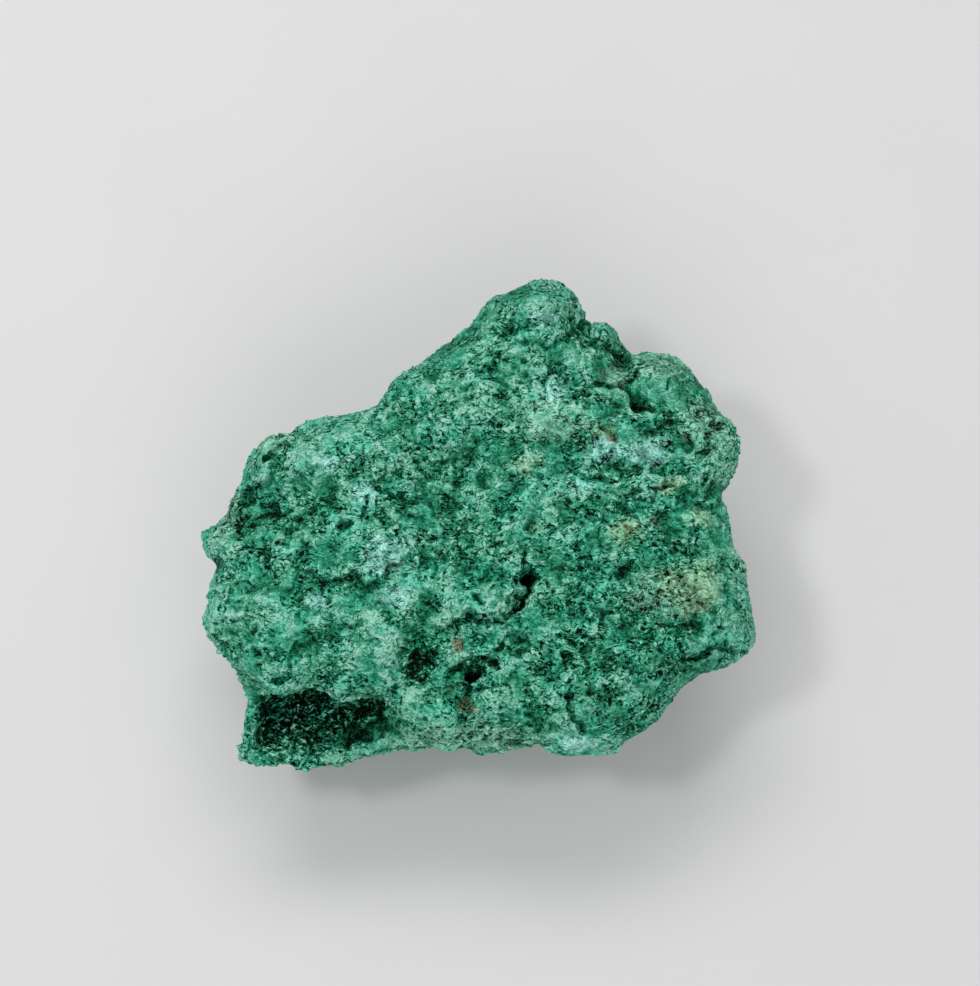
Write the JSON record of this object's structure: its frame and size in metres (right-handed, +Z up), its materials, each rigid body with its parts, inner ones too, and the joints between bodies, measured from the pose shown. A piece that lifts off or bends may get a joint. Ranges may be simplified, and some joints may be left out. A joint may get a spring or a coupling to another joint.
{
  "type": "malachite specimen",
  "caption": "Hand-sized lump of massive green malachite with a rough, pitted crust on top, lying on its flattest side.",
  "frame": {"origin": "on the flat resting face, under the middle of the lump", "axes": "+Z up out of the resting face, +X along the lump's longest side, +Y to the back, towards its knuckle"},
  "size_m": [0.0698, 0.0624, 0.0305],
  "materials": {
    "malachite": "rough, crumbly, semi-matt"
  },
  "bodies": {
    "root": {"malachite_specimen": "malachite"}
  },
  "joints": []
}
